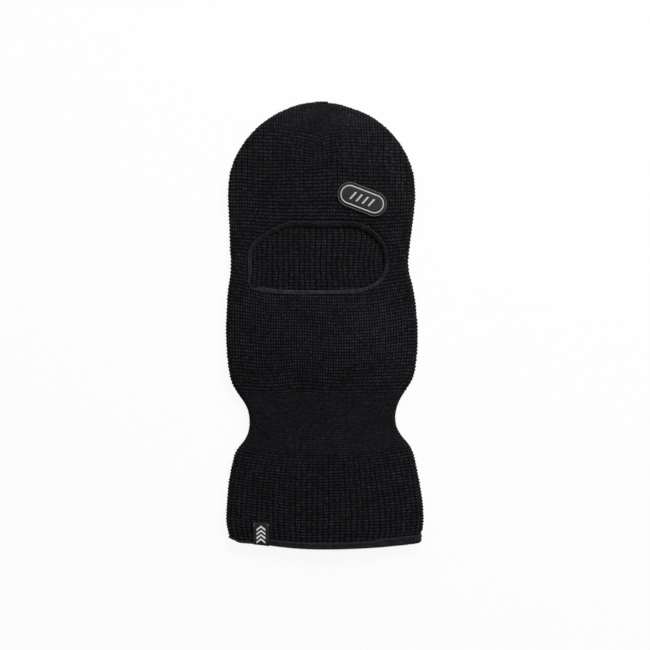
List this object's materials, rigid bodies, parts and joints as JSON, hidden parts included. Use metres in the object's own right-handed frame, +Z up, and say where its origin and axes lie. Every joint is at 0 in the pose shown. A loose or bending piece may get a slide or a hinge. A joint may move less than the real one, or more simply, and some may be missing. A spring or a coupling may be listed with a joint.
{
  "type": "balaclava",
  "caption": "Rib-knit balaclava laid flat, with one bound face opening, a narrow neck band that folds and a flared neck skirt.",
  "frame": {"origin": "middle of the underside of the whole object, on the surface that it lies on", "axes": "+X to the right across the face, +Y along the object from the hem to the crown, +Z up, out of the face opening"},
  "size_m": [0.1983, 0.4474, 0.0244],
  "materials": {
    "rib_knit": "thick matte rib knit, black",
    "binding": "fine jersey tape, black",
    "thread": "twisted sewing thread, black",
    "pale_thread": "twisted sewing thread, grey",
    "patch_rubber": "matte moulded rubber, dark grey",
    "patch_line": "matte raised rubber, pale grey",
    "label_tape": "woven satin tape, black",
    "label_print": "woven yarn, off-white"
  },
  "bodies": {
    "hood": {"hood_knit": "rib_knit", "neck_band": "rib_knit", "face_binding": "binding", "binding_seam": "thread", "crown_closure": "rib_knit", "crown_seam_front": "thread", "crown_seam_back": "thread", "patch_base": "patch_rubber", "patch_border": "patch_line", "patch_motif": "patch_line", "patch_stitching": "pale_thread"},
    "neck": {"neck_skirt": "rib_knit", "hem_band": "binding", "hem_seam": "thread", "hem_join": "binding", "hem_label": "label_tape", "label_motif": "label_print", "label_tacks": "pale_thread"}
  },
  "joints": [
    {"name": "neck_fold", "type": "hinge", "parent": "hood", "child": "neck", "pos_m": [0, -0.12, 0.0215], "axis": [-1, 0, 0], "range_deg": [0, 175]}
  ]
}
